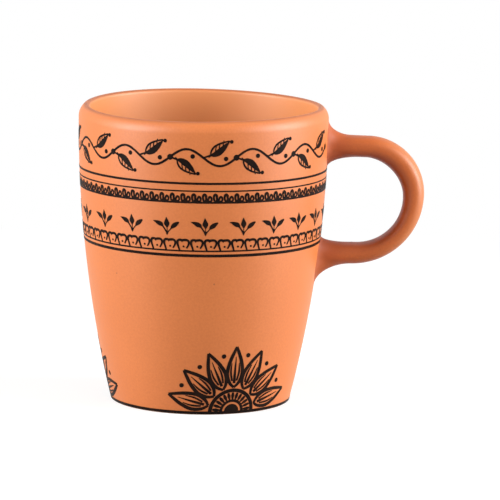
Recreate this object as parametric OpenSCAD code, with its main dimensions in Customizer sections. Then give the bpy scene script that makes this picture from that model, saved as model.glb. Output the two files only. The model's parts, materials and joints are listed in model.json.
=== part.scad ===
// A coffee cup in matt terracotta ware: a thick-walled tapered body, a cast loop handle luted on
// with slip, and rows of fired black ink on the wall. Millimetres, +Z up, the body's axis on Z, the
// foot on z = 0 and the handle towards +X. The print's angles count from the front, which faces -Y.

/* [Body] */
// Height from the table to the top of the lip
cup_h = 96; // [84:1:110]
// Widest outside diameter, just under the shoulder of the lip
cup_d = 80; // [72:1:92]
// Outside diameter that the wall's curve reaches at the table
foot_d = 57.5; // [50:0.5:64]
// Thickness of the wall
wall = 3.6; // [2.8:0.1:4.4]
// Thickness of the floor above the recess in the foot
floor_t = 4.4; // [3:0.1:6]
// Radius of the round shoulder outside the lip
shoulder_r = 5; // [4:0.5:12]
// Radius of the lip's nose, at the top of the inner wall
lip_r = 1.2; // [0.5:0.1:1.3]
// Radius between the inner wall and the floor
floor_corner_r = 10; // [6:0.5:14]
// Radius of the bottom edge outside
foot_edge_r = 0.4; // [0.3:0.1:1.2]
// Width of the flat ring that the cup stands on
foot_ring_w = 4.5; // [3:0.1:7]
// Depth of the recess inside the foot ring
foot_recess = 1.6; // [0.8:0.1:2.4]

/* [Handle] */
// Depth of the upper arm's centre line below the lip
upper_arm_drop = 13.1; // [12:0.1:20]
// Height between the centre lines of the two arms
arm_span = 35.3; // [28:0.1:42]
// Depth of the loop's furthest point below the upper arm's centre line
loop_drop = 15.4; // [12:0.1:18]
// How far each arm leans towards the other on its way to the bend
arm_lean = 0.4; // [0:0.1:1]
// How far the loop stands out from the widest part of the wall
handle_out = 31; // [26:0.5:38]
// Thickness of the handle in the plane of the loop
handle_t = 6.8; // [5:0.1:8]
// How much the loop is thicker inside its upper bend, and thinner inside its lower bend
bend_swell = 0.7; // [0:0.1:1]
// Width of the handle across the loop
handle_w = 10; // [8:0.1:13]
// Spread of the upper root above its arm
upper_flare_over = 4.7; // [2:0.1:5.2]
// Spread of the upper root under its arm
upper_flare_under = 3.8; // [2:0.1:5]
// Spread of the lower root above its arm
lower_flare_over = 2.5; // [1.5:0.1:4]
// Spread of the lower root under its arm
lower_flare_under = 6.5; // [3:0.1:8]
// Spread of both roots to each side
side_flare = 1.2; // [0.8:0.1:4]
// Run of the flares along their arms
flare_run = 11; // [8:0.1:13]
// Run of the flare over the upper arm
upper_run = 7.5; // [5:0.1:10]
// Run of the side flares
side_run = 3; // [2:0.1:8]
// Thickness of the slip that lutes each root to the wall
slip_t = 0.5; // [0.3:0.1:0.8]

/* [Print] */
// Thickness of the fired ink
ink_t = 0.1; // [0.08:0.01:0.2]
// Height of a heavy line
line_h = 0.7; // [0.3:0.05:0.9]
// Height of a fine line
fine_line_h = 0.4; // [0.2:0.05:0.6]
// Depth of the upper heavy line below the handle's upper arm
upper_line_drop = 4; // [3.8:0.1:8]
// Height of the lower heavy line above the handle's lower arm
lower_line_rise = 1.5; // [0.5:0.1:4]
// Distance from the upper heavy line to the fine line under it
upper_line_gap = 2.4; // [1:0.1:3]
// Distance from the lower heavy line to the fine line over it
lower_line_gap = 1.5; // [0.8:0.1:3]
// Distance from the upper fine line to the base of the loop border
loop_base_gap = 3.4; // [2:0.1:4]
// Height of the solid base of the loop border
loop_base_h = 1; // [0.5:0.1:1.5]
// Height of the scallops over the lower fine line
scallop_h = 3.8; // [2.5:0.1:4.5]
// Number of scallops round the cup
scallop_count = 56; // [40:1:60]
// Angle of the first scallop from the front, in degrees
scallop_turn = -2.5; // [-4:0.1:4]
// Width of a drawn outline
stroke_w = 0.6; // [0.3:0.05:0.8]
// Clear height between the scallops and the sprigs
sprig_gap = 0.9; // [0.5:0.1:2]
// Height of a sprig of three leaves
sprig_h = 5.7; // [4:0.1:7]
// Width of a sprig
sprig_w = 9; // [6:0.1:11]
// Height of a sprig's stem
sprig_stem_h = 1.9; // [1:0.1:2.5]
// Width of a sprig's leaves
sprig_leaf_w = 1.8; // [1.2:0.1:2.2]
// Distance between the roots of a sprig's two side leaves
sprig_fork_w = 2.2; // [1.8:0.1:3]
// Depth of the side leaves' tips below the middle leaf's tip
sprig_tip_drop = 1.6; // [0.5:0.1:2.5]
// Number of sprigs round the cup
sprig_count = 20; // [15:1:24]
// Angle of the first sprig from the front, in degrees
sprig_turn = 1.5; // [-9:0.1:9]
// Angle by which the sprigs close up towards the front, most at the side, in degrees
sprig_close = 8.2; // [0:0.1:9]
// Length of a leaf in the frieze under the lip
frieze_leaf_l = 7.4; // [4:0.1:8]
// Width of a leaf in the frieze
frieze_leaf_w = 3.6; // [2:0.1:4]
// Distance of a frieze leaf's middle from the middle of the frieze
frieze_rise = 3; // [2:0.1:3.4]
// Lean of a frieze leaf from upright, in degrees
frieze_lean = 52; // [35:1:65]
// Number of leaves in the frieze, over and under its middle by turns
frieze_count = 24; // [12:2:30]
// Radius from the middle of a foot rosette to the tips of its petals
rosette_r = 21.5; // [16:0.1:24]
// Radius from the middle of a foot rosette to the roots of its petals
rosette_heart_r = 8; // [5:0.1:10]
// Width of a rosette's petal
petal_w = 6.2; // [3:0.1:6.4]
// Number of petals in the fan of a rosette
petal_count = 7; // [3:2:7]
// Angle from one petal to the next, in degrees
petal_step = 25; // [18:1:26]
// Number of rosettes round the foot
rosette_count = 3; // [2:1:3]
// Angle of the first rosette from the front, in degrees
rosette_turn = 20; // [-60:1:60]
// Distance that the print keeps from the roots of the handle
print_clear = 0.3; // [0.1:0.1:1]

/* [Hidden] */
$fn = 96;
// Steps round the wall's long curve, and a length longer than any outline
arc_fn = 720;
sketch = 5 * cup_d;
clay = "#dd8a58";
ink = "#2a2221";

// Profile of the body: a long arc up the wall, the shoulder's arc and the nose of the lip, each
// running into the next
cup_r = cup_d / 2;
inner_r = cup_r - wall;
lip_centre = [inner_r + lip_r, cup_h - lip_r];
shoulder_x = cup_r - shoulder_r;
shoulder_z = lip_centre.y - sqrt((shoulder_r - lip_r) ^ 2 - (lip_centre.x - shoulder_x) ^ 2);
shoulder_turn = atan2(lip_centre.y - shoulder_z, lip_centre.x - shoulder_x);
taper = cup_r - foot_d / 2;
belly_r = (shoulder_z ^ 2 + taper ^ 2) / (2 * taper);
belly_x = cup_r - belly_r;
foot_edge_x = belly_x + sqrt((belly_r - foot_edge_r) ^ 2 - (foot_edge_r - shoulder_z) ^ 2);
foot_edge_turn = atan2(foot_edge_r - shoulder_z, foot_edge_x - belly_x);

function belly_at(z) = belly_x + sqrt(belly_r ^ 2 - (z - shoulder_z) ^ 2);
function lip_at(z) = shoulder_x + sqrt(shoulder_r ^ 2 - (z - shoulder_z) ^ 2);
function wall_at(z) = z <= shoulder_z ? belly_at(z) : lip_at(z);
function ray(turn, length) = length * [cos(turn), sin(turn)];

// A slice of a disc between two angles
module sector(centre, r, from, to) {
    translate(centre) intersection() {
        circle(r);
        polygon([[0, 0], ray(from, 2 * r), ray((from + to) / 2, 4 * r), ray(to, 2 * r)]);
    }
}

// Half of the outside, and with a growth, the surface at that distance from the wall. Its pieces
// lap over each other inside, so that they join at any size.
lap_turn = 15;
module outer_2d(grow = 0) {
    edge = [foot_edge_x, foot_edge_r];
    intersection() {
        translate([belly_x, shoulder_z]) circle(belly_r + grow, $fn = arc_fn);
        polygon([
            [0, edge.y], edge, edge + ray(foot_edge_turn, sketch),
            [sketch, shoulder_z], [0, shoulder_z]]);
    }
    translate(edge) circle(foot_edge_r + grow);
    translate([0, -grow]) square([edge.x, 2 * foot_edge_r + grow]);
    sector([shoulder_x, shoulder_z], shoulder_r + grow, -lap_turn, shoulder_turn);
    translate(lip_centre) circle(lip_r + grow);
    polygon([
        [0, shoulder_z - shoulder_r], [shoulder_x, shoulder_z - shoulder_r],
        [shoulder_x + shoulder_r / 2, shoulder_z], lip_centre,
        lip_centre - [lip_r + grow, 0], [0, lip_centre.y]]);
}

// Half of the space inside
module hollow_2d() {
    floor_z = foot_recess + floor_t;
    corner_z = floor_z + floor_corner_r;
    corner_x = belly_x + sqrt((belly_r - wall - floor_corner_r) ^ 2 - (corner_z - shoulder_z) ^ 2);
    corner = [corner_x, corner_z];
    turn = atan2(corner_z - shoulder_z, corner_x - belly_x);
    intersection() {
        translate([belly_x, shoulder_z]) circle(belly_r - wall, $fn = arc_fn);
        polygon([
            [0, corner_z], corner, corner + ray(turn, sketch),
            [sketch, shoulder_z + lip_r], [0, shoulder_z + lip_r]]);
    }
    translate(corner) circle(floor_corner_r);
    translate([0, floor_z]) square([corner_x, 2 * floor_corner_r]);
    translate([0, shoulder_z]) square([inner_r, cup_h - shoulder_z + lip_r]);
}

module cup_body() {
    ring_inner = foot_edge_x - foot_ring_w;
    color(clay) rotate_extrude() difference() {
        outer_2d();
        hollow_2d();
        polygon([
            [0, -foot_recess], [ring_inner + foot_recess, -foot_recess],
            [ring_inner - foot_recess, foot_recess], [0, foot_recess]]);
    }
}

// The loop handle is a chain of oval rings: along the upper root, round the two bends and along the
// lower root. A root's rings keep an even distance from the wall, so that it flares out on the wall.
upper_arm_z = cup_h - upper_arm_drop;
lower_arm_z = upper_arm_z - arm_span;
loop_z = upper_arm_z - loop_drop;
upper_bend_r = loop_drop - arm_lean;
lower_bend_r = arm_span - loop_drop - arm_lean;
loop_line_x = cup_r + handle_out - handle_t / 2;
upper_bend_x = loop_line_x - upper_bend_r;
lower_bend_x = loop_line_x - lower_bend_r;
section_sides = 28;
section_power = 2.4;
bend_steps = 12;
root_steps = 8;
root_sink = wall / 2;
section = [for (i = [0 : section_sides - 1]) ray(360 * i / section_sides, 1)];

// A root: its arm's height, which way the outside of the loop lies, its flares outside and inside the
// loop, their runs, which its arm limits, and the length of the arm
function root(arm_z, up, outer_flare, inner_flare, outer_run, inner_run, bend_x) =
    let (arm_l = bend_x - wall_at(arm_z))
    [arm_z, up, outer_flare, inner_flare, min(outer_run, arm_l), min(inner_run, arm_l), arm_l];
upper_root = root(
    upper_arm_z, 1, upper_flare_over, upper_flare_under, upper_run, flare_run, upper_bend_x);
lower_root = root(
    lower_arm_z, -1, lower_flare_under, lower_flare_over, flare_run, flare_run, lower_bend_x);

function oval(c) = sign(c) * abs(c) ^ (2 / section_power);
function across(u) = handle_w / 2 * oval(u.x);
function outward(u) = handle_t / 2 * oval(u.y);
function inward(u, turn) = u.y < 0 ? 1 + 2 * bend_swell / handle_t * sin(2 * turn) : 1;
function spread(full, run, d) =
    let (left = min(1, max(0, 1 - d / run)))
    full * (1 - sqrt(1 - left ^ 2));

// Outline of a root seen from the handle's side, at a distance from the wall
function root_outline(root, d, grow = 0) = [
    for (u = section)
        let (
            full = side_flare * u.x ^ 2 + (u.y > 0 ? root[2] : root[3]) * u.y ^ 2,
            run = side_run * u.x ^ 2 + (u.y > 0 ? root[4] : root[5]) * u.y ^ 2,
            out = spread(full, run, d) + grow,
            lean = arm_lean * d / root[6])
        [across(u) + out * u.x, root[0] + root[1] * (outward(u) + out * u.y - lean)]];

function root_ring(root, d) = [
    for (p = root_outline(root, max(d, slip_t)))
        [sqrt(wall_at(p.y) ^ 2 - p.x ^ 2) + d, p.x, p.y]];

// Rings of a root from inside the wall outwards, closer together where the flare is steep
straight_share = 0.9;
function root_rings(root) =
    let (last = straight_share * root[6])
    [
        root_ring(root, -root_sink),
        for (i = [0 : root_steps]) root_ring(root, slip_t + (last - slip_t) * (i / root_steps) ^ 2)];

function bend_ring(turn, centre_x, r) = [
    for (u = section)
        let (reach = r + outward(u) * inward(u, turn))
        [centre_x + reach * sin(turn), across(u), loop_z + reach * cos(turn)]];

function reversed(list) = [for (i = [len(list) - 1 : -1 : 0]) list[i]];
function middle(ring) = [for (k = [0 : 2]) [for (p = ring) p[k]] * [for (p = ring) 1] / len(ring)];

module loop() {
    rings = concat(
        root_rings(upper_root),
        [for (i = [0 : bend_steps]) bend_ring(90 * i / bend_steps, upper_bend_x, upper_bend_r)],
        [for (i = [1 : bend_steps]) bend_ring(90 + 90 * i / bend_steps, lower_bend_x, lower_bend_r)],
        reversed(root_rings(lower_root)));
    n = section_sides;
    points = [for (ring = rings) each ring];
    first = len(points);
    last = first + 1;
    end = first - n;
    sides = [
        for (j = [0 : len(rings) - 2], i = [0 : n - 1])
            let (a = j * n + i, b = j * n + (i + 1) % n)
            each [[a, b, b + n], [a, b + n, a + n]]];
    caps = [
        for (i = [0 : n - 1])
            let (k = (i + 1) % n)
            each [[first, k, i], [last, end + i, end + k]]];
    polyhedron(concat(points, [middle(rings[0]), middle(rings[len(rings) - 1])]), concat(sides, caps));
}

module handle() {
    color(clay) difference() {
        loop();
        rotate_extrude() outer_2d(slip_t);
    }
}

// A bar along +X with a root's outline
module root_bar(root, grow = 0) {
    rotate([90, 0, 90]) linear_extrude(cup_d) polygon(root_outline(root, slip_t, grow));
}

module root_slip(root) {
    intersection() {
        rotate_extrude() difference() {
            outer_2d(slip_t);
            outer_2d();
        }
        root_bar(root);
    }
}

module upper_root_slip() {
    color(clay) root_slip(upper_root);
}

module lower_root_slip() {
    color(clay) root_slip(lower_root);
}

// The print lies on the wall's long arc, and stops at the shoulder and at the roots of the handle
front = -90;
upper_line_z = upper_arm_z - handle_t / 2 - upper_line_drop;
upper_fine_line_z = upper_line_z - upper_line_gap;
loop_base_z = upper_fine_line_z - loop_base_gap;
lower_line_z = lower_arm_z + handle_t / 2 + lower_line_rise;
lower_fine_line_z = lower_line_z + lower_line_gap;
scallop_z = lower_fine_line_z + fine_line_h / 2;
sprig_z = scallop_z + scallop_h + sprig_gap;
foot_line_z = foot_edge_r + line_h / 2;
frieze_z = (upper_line_z + shoulder_z) / 2;
layer_margin = line_h;

module ink_layer(low, high) {
    rotate_extrude() intersection() {
        difference() {
            translate([belly_x, shoulder_z]) circle(belly_r + ink_t, $fn = arc_fn);
            translate([belly_x, shoulder_z]) circle(belly_r, $fn = arc_fn);
        }
        translate([foot_d / 4, low]) square([cup_d, min(high, shoulder_z) - low]);
    }
}

module ring_line(z, h) {
    color(ink) difference() {
        ink_layer(z - h / 2, z + h / 2);
        root_bar(upper_root, print_clear);
        root_bar(lower_root, print_clear);
    }
}

// A motif pressed straight onto the wall: its own x runs round the cup, and its y up the wall
module on_wall(turn, z) {
    rotate(front + turn) translate([foot_d / 4, 0, z]) rotate([90, 0, 90]) linear_extrude(cup_d) children();
}

// Whether a motif of this half width and these heights would lie on a root of the handle
function touches(root, turn, half_w, low, high) =
    let (
        outline = root_outline(root, slip_t, print_clear),
        heights = [for (p = outline) p.y],
        beside = (max([for (p = outline) p.x]) + half_w) / wall_at(root[0]))
    abs(turn + front) < beside * 180 / PI && low < max(heights) && high > min(heights);
function on_root(turn, half_w, low, high) =
    touches(upper_root, turn, half_w, low, high) || touches(lower_root, turn, half_w, low, high);

// A pointed leaf on its own middle, with a few straight sides, because ink this small shows no more
leaf_steps = 4;
function leaf_side(length, width, side) = [
    for (i = [0 : leaf_steps - 1])
        let (t = i / leaf_steps)
        side * [width / 2 * sin(180 * t), length * (0.5 - t)]];
module leaf(length, width) {
    polygon(concat(leaf_side(length, width, 1), leaf_side(length, width, -1)));
}

module leaf_outline(length, width) {
    difference() {
        leaf(length, width);
        leaf(length * (1 - 2 * stroke_w / width), width - 2 * stroke_w);
    }
}

module upper_line() {
    ring_line(upper_line_z, line_h);
}

module upper_fine_line() {
    ring_line(upper_fine_line_z, fine_line_h);
}

module loop_border() {
    ring_line(loop_base_z, loop_base_h);
}

module lower_fine_line() {
    ring_line(lower_fine_line_z, fine_line_h);
}

module lower_line() {
    ring_line(lower_line_z, line_h);
}

module foot_line() {
    ring_line(foot_line_z, line_h);
}

// Three leaves that spread from the top of a short stem
module sprig() {
    middle_l = sprig_h - sprig_stem_h;
    fork = [sprig_fork_w / 2, sprig_stem_h];
    tip = [sprig_w / 2, sprig_h - sprig_tip_drop];
    side = (fork + tip) / 2;
    lean = atan2(tip.x - fork.x, tip.y - fork.y);
    translate([0, sprig_h - middle_l / 2]) leaf(middle_l, sprig_leaf_w);
    translate(side) rotate(-lean) leaf(norm(tip - fork), sprig_leaf_w);
    translate([-side.x, side.y]) rotate(lean) leaf(norm(tip - fork), sprig_leaf_w);
}

// The row is laid by hand: its sprigs close up from the first angle on, and are even again at the last
close_from = 18;
close_most = 90;
close_to = 180;
function closing(turn) = sprig_close * max(0, min(
    (turn - close_from) / (close_most - close_from),
    (close_to - turn) / (close_to - close_most)));

module sprig_row() {
    color(ink) intersection() {
        ink_layer(sprig_z - layer_margin, sprig_z + sprig_h + layer_margin);
        for (i = [0 : sprig_count - 1]) {
            even_turn = i * 360 / sprig_count;
            turn = sprig_turn + even_turn - closing(even_turn);
            if (!on_root(turn, sprig_w / 2, sprig_z, sprig_z + sprig_h)) on_wall(turn, sprig_z) sprig();
        }
    }
}

// A horseshoe that stands on the fine line
scallop_steps = 5;
module scallop() {
    r = PI * wall_at(scallop_z + scallop_h) / scallop_count - stroke_w / 4;
    foot_turn = asin(max(-0.95, 1 - (scallop_h - stroke_w / 4) / r));
    turns = [for (i = [0 : scallop_steps]) foot_turn + (180 - 2 * foot_turn) * i / scallop_steps];
    translate([0, scallop_h - r])
        polygon(concat([for (a = turns) ray(a, r)], reversed([for (a = turns) ray(a, r - stroke_w)])));
}

module scallop_border() {
    color(ink) intersection() {
        ink_layer(scallop_z - layer_margin, scallop_z + scallop_h + layer_margin);
        for (i = [0 : scallop_count - 1]) {
            turn = scallop_turn + i * 360 / scallop_count;
            if (!on_root(turn, 0, scallop_z, scallop_z + scallop_h)) on_wall(turn, scallop_z) scallop();
        }
    }
}

module leaf_frieze() {
    half_h = frieze_rise + frieze_leaf_l / 2;
    color(ink) intersection() {
        ink_layer(frieze_z - half_h, frieze_z + half_h);
        for (i = [0 : frieze_count - 1]) {
            turn = (i + 0.5) * 360 / frieze_count;
            side = i % 2 == 0 ? 1 : -1;
            if (!on_root(turn, frieze_leaf_l / 2, frieze_z - half_h, frieze_z + half_h))
                on_wall(turn, frieze_z + side * frieze_rise) rotate(-side * frieze_lean)
                    leaf_outline(frieze_leaf_l, frieze_leaf_w);
        }
    }
}

// Half rosettes that rise from the foot line, a fan of pointed petals on each
module foot_rosettes() {
    heart_z = foot_line_z + line_h;
    petal_l = rosette_r - rosette_heart_r;
    petal_place = (rosette_r + rosette_heart_r) / 2;
    color(ink) intersection() {
        ink_layer(foot_line_z + line_h / 2, heart_z + rosette_r + layer_margin);
        for (i = [0 : rosette_count - 1], k = [0 : petal_count - 1]) {
            lean = (k - (petal_count - 1) / 2) * petal_step;
            z = heart_z + petal_place * cos(lean);
            turn = petal_place * sin(lean) / wall_at(z) * 180 / PI;
            on_wall(rosette_turn + i * 360 / rosette_count + turn, z) rotate(-lean)
                leaf_outline(petal_l, petal_w);
        }
    }
}

cup_body();
handle();
upper_root_slip();
lower_root_slip();
upper_line();
upper_fine_line();
loop_border();
sprig_row();
scallop_border();
lower_fine_line();
lower_line();
foot_line();
leaf_frieze();
foot_rosettes();
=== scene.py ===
# %% [markdown]
# # A coffee cup in matt terracotta
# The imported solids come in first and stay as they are: they say where every piece of the cup sits.
# The lesson then models the clay, the slip at the roots of the handle and the fired ink around them,
# gives each its finish, and lights the cup like a plain studio picture.

# %% Load the solids
import json
import math

import bmesh
import bpy
from mathutils import Matrix, Vector

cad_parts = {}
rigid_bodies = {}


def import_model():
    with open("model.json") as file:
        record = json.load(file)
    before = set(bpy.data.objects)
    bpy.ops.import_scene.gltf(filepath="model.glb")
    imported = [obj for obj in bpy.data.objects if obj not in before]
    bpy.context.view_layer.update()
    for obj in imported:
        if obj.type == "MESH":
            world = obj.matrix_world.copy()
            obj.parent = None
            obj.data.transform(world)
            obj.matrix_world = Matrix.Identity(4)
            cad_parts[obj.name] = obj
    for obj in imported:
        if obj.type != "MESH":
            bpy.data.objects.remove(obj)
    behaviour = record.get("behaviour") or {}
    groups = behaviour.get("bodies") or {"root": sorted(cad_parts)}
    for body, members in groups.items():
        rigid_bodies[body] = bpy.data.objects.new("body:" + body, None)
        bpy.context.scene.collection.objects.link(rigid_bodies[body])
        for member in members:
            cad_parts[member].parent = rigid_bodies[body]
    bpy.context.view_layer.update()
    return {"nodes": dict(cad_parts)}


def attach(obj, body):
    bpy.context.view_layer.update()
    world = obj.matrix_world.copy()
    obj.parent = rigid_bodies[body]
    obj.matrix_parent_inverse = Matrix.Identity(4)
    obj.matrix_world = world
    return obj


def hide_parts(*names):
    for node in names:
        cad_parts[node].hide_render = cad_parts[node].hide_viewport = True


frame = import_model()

MM = 0.001
print("solids:", ", ".join(sorted(frame["nodes"])))

# %% [markdown]
# ## The camera
# The picture was taken from a little over a metre away with a long lens, so the cup hardly narrows
# towards the back. A camera far off with a long lens gives the same flat view, and a small roll
# gives the slight tilt of the picture.

# %% Camera
EYE = Vector((0, -1275.9, 257.8)) * MM
AIM = Vector((15.43, 0.545, 48.27)) * MM
LENS_MM, SENSOR_MM = 289.5, 36
ROLL = math.radians(0.9)

bpy.ops.object.select_all(action="DESELECT")
look = (AIM - EYE).to_track_quat("-Z", "Y").to_matrix() @ Matrix.Rotation(ROLL, 3, "Z")
bpy.ops.object.camera_add(location=EYE, rotation=look.to_euler())
camera = bpy.context.object
camera.name = "photo_camera"
camera.data.sensor_width = SENSOR_MM
camera.data.lens = LENS_MM
bpy.context.scene.camera = camera
print("camera at", [round(c, 3) for c in EYE])

# %% [markdown]
# ## The shape of the wall
# The outside of the cup is one long, almost straight arc that runs from the foot to the shoulder and
# turns over a tight arc into the nose of the lip. Everything that lies on the wall, from the handle
# to the ink, needs the radius of that arc at a height, so it comes first, as a formula.

# %% The wall's arcs, in millimetres
CUP_H, CUP_R, WALL = 96, 40, 3.6
FOOT_R, FOOT_EDGE_R, FOOT_RING_W, FOOT_RECESS = 28.75, 0.4, 4.5, 1.6
SHOULDER_R, LIP_R = 5, 1.2
FLOOR_T, FLOOR_CORNER_R = 4.4, 10

INNER_R = CUP_R - WALL
lip_centre = (INNER_R + LIP_R, CUP_H - LIP_R)
shoulder_x = CUP_R - SHOULDER_R
nose_out = lip_centre[0] - shoulder_x
shoulder_z = lip_centre[1] - math.sqrt((SHOULDER_R - LIP_R) ** 2 - nose_out ** 2)
taper = CUP_R - FOOT_R
belly_r = (shoulder_z ** 2 + taper ** 2) / (2 * taper)
belly = (CUP_R - belly_r, shoulder_z)


def wall_at(z):
    """Outside radius of the cup at a height."""
    if z <= shoulder_z:
        return belly[0] + math.sqrt(belly_r ** 2 - (z - shoulder_z) ** 2)
    return shoulder_x + math.sqrt(SHOULDER_R ** 2 - (z - shoulder_z) ** 2)


def arc(centre, radius, start, end, steps):
    """Points on a circle from one angle to another, in degrees."""
    turns = [math.radians(start + (end - start) * i / steps) for i in range(steps + 1)]
    return [(centre[0] + radius * math.cos(t), centre[1] + radius * math.sin(t)) for t in turns]


print("wall radius at the foot, middle and shoulder:", [round(wall_at(z), 2) for z in (1, 48, 90)])

# %% [markdown]
# ## The body
# A real cup of this kind is cast or thrown, so every cut through its axis has the same outline. By
# hand it is drawn as a chain of extruded vertices on one side of the axis and then spun. The chain
# goes from the recess under the foot, up the outside, over the lip and down to the floor inside. The
# corners of the foot ring are bevelled first, because wiped clay is never sharp.

# %% Outline of the body
RECESS_POINTS, FLOOR_SHARES = (0, 8, 16), (0.66, 0.33, 0)
FOOT_EDGE_STEPS, BELLY_STEPS, SHOULDER_STEPS = 8, 44, 12
LIP_STEPS, INNER_STEPS, CORNER_STEPS = 16, 30, 16


def angle_to(centre, point):
    """Direction from a centre to a point, in degrees."""
    return math.degrees(math.atan2(point[1] - centre[1], point[0] - centre[0]))


edge_x = belly[0] + math.sqrt((belly_r - FOOT_EDGE_R) ** 2 - (FOOT_EDGE_R - shoulder_z) ** 2)
foot_edge = (edge_x, FOOT_EDGE_R)
foot_turn = angle_to(belly, foot_edge)
lip_turn = angle_to((shoulder_x, shoulder_z), lip_centre)
floor_z = FOOT_RECESS + FLOOR_T
corner_z = floor_z + FLOOR_CORNER_R
corner_path_r = belly_r - WALL - FLOOR_CORNER_R
corner_x = belly[0] + math.sqrt(corner_path_r ** 2 - (corner_z - shoulder_z) ** 2)
corner_turn = angle_to(belly, (corner_x, corner_z))
ring_inner = edge_x - FOOT_RING_W

recess_corner = (ring_inner - FOOT_RECESS, FOOT_RECESS)
outline = [(x, FOOT_RECESS) for x in RECESS_POINTS]
outline += [recess_corner, (ring_inner, 0)]
outline += arc(foot_edge, FOOT_EDGE_R, -90, foot_turn, FOOT_EDGE_STEPS)
outline += arc(belly, belly_r, foot_turn, 0, BELLY_STEPS)[1:]
outline += arc((shoulder_x, shoulder_z), SHOULDER_R, 0, lip_turn, SHOULDER_STEPS)[1:]
outline += arc(lip_centre, LIP_R, lip_turn, 180, LIP_STEPS)[1:]
outline += arc(belly, belly_r - WALL, 0, corner_turn, INNER_STEPS)
outline += arc((corner_x, corner_z), FLOOR_CORNER_R, corner_turn, -90, CORNER_STEPS)[1:]
outline += [(corner_x * share, floor_z) for share in FLOOR_SHARES]
print("outline of the body:", len(outline), "points")

# %% Spin the body
SPIN_STEPS, RECESS_BEVEL, BEVEL_STEPS = 288, 0.5, 4
SAME_SPOT, NEAR_SPOT = 0.0005, 0.01
SMOOTH_ANGLE = 35


def fresh(name, primitive, **size):
    """Deselect everything, add a primitive and go into edit mode."""
    bpy.ops.object.select_all(action="DESELECT")
    primitive(**size)
    bpy.context.object.name = name
    bpy.context.object.data.name = name
    bpy.ops.object.mode_set(mode="EDIT")


def edit_mesh():
    """The mesh of the piece in edit mode."""
    return bmesh.from_edit_mesh(bpy.context.object.data)


def picked():
    """The selected vertices of the piece in edit mode."""
    return [v for v in edit_mesh().verts if v.select]


def pick(wanted):
    """Select just the vertices for which wanted(vertex) is true."""
    mesh = edit_mesh()
    for v in mesh.verts:
        v.select_set(bool(wanted(v)))
    mesh.select_flush(True)
    mesh.select_flush_mode()
    bmesh.update_edit_mesh(bpy.context.object.data)


def close_up():
    """Merge doubles, point the faces outwards, and shade the piece smooth."""
    bpy.ops.mesh.select_all(action="SELECT")
    bpy.ops.mesh.remove_doubles(threshold=SAME_SPOT * MM)
    bpy.ops.mesh.normals_make_consistent(inside=False)
    bpy.ops.object.mode_set(mode="OBJECT")
    bpy.ops.object.shade_smooth_by_angle(angle=math.radians(SMOOTH_ANGLE))
    piece = bpy.context.object
    print(piece.name, "has", len(piece.data.polygons), "faces")
    return piece


fresh("clay_body", bpy.ops.mesh.primitive_plane_add, size=MM)
bpy.ops.mesh.merge(type="CENTER")
places = [Vector((x, 0, z)) * MM for x, z in outline]
picked()[0].co = places[0]
for here, there in zip(places, places[1:]):
    bpy.ops.mesh.extrude_region_move(TRANSFORM_OT_translate={"value": there - here})
corners = [Vector((x, 0, z)) * MM for x, z in (recess_corner, (ring_inner, 0))]
pick(lambda v: min((v.co - c).length for c in corners) < NEAR_SPOT * MM)
bpy.ops.mesh.bevel(offset=RECESS_BEVEL * MM, segments=BEVEL_STEPS, affect="VERTICES")
bpy.ops.mesh.select_all(action="SELECT")
bpy.ops.mesh.spin(steps=SPIN_STEPS, angle=2 * math.pi, center=(0, 0, 0), axis=(0, 0, 1))
clay_body = close_up()

# %% [markdown]
# ## A rim levelled by hand
# A wheel would leave the rim dead level. This one was wiped by hand: it dips a little, most at the
# front, and it is slightly warped, so that the back right and front left lie lower than their
# neighbours. The vertices near the top sink by a smooth share of that dip, so the wall under the
# shoulder stays as it was.

# %% Dip of the rim
RIM_FROM = 84
RIM_DIP, RIM_DIP_FRONT, RIM_WARP = 0.8, 0.6, 0.29

for vertex in clay_body.data.vertices:
    share = min(1, max(0, (vertex.co.z / MM - RIM_FROM) / (CUP_H - RIM_FROM)))
    right, front = vertex.co.x / (CUP_R * MM), -vertex.co.y / (CUP_R * MM)
    dip = RIM_DIP + RIM_DIP_FRONT * front - 2 * RIM_WARP * front * right
    vertex.co.z -= share * share * (3 - 2 * share) * dip * MM
print("top of the rim, mm:", round(max(v.co.z for v in clay_body.data.vertices) / MM, 2))

# %% [markdown]
# ## The handle
# The handle is cast as a loop with an oval section and stuck on: its two arms widen into the wall.
# It could be a bevelled curve, but a curve keeps one section, and the widening roots are what makes
# this handle. So a circle of vertices is extruded ring by ring, and each ring is put in its place by
# a formula: along the upper root, round a small and a wider bend, and back along the lower root.

# %% Rings of the handle
UPPER_ARM_Z, LOWER_ARM_Z, LOOP_Z = 82.9, 47.6, 67.5
HANDLE_T, HANDLE_W, HANDLE_OUT = 6.8, 10, 31
ARM_LEAN, BEND_SWELL = 0.4, 0.7
SIDE_FLARE, SIDE_RUN, SLIP_T = 1.2, 3, 0.5
SECTION_POWER = 2.4
RING_SIDES, ROOT_STEPS, ARM_SHARE = 64, 24, 0.96
UPPER_RADIUS = UPPER_ARM_Z - LOOP_Z - ARM_LEAN
LOWER_RADIUS = LOOP_Z - LOWER_ARM_Z - ARM_LEAN
LOOP_X = CUP_R + HANDLE_OUT - HANDLE_T / 2


def handle_root(arm_z, up, outer, inner, radius):
    """A root: the height of its arm, which way the outside of the loop lies, its flare and the flare's
    run outside and inside the loop, and the length of its arm, which limits the runs."""
    arm_l = LOOP_X - radius - wall_at(arm_z)
    return arm_z, up, (outer[0], min(outer[1], arm_l)), (inner[0], min(inner[1], arm_l)), arm_l


UPPER_ROOT = handle_root(UPPER_ARM_Z, 1, outer=(4.7, 7.5), inner=(3.8, 11), radius=UPPER_RADIUS)
LOWER_ROOT = handle_root(LOWER_ARM_Z, -1, outer=(6.5, 11), inner=(2.5, 11), radius=LOWER_RADIUS)


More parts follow.
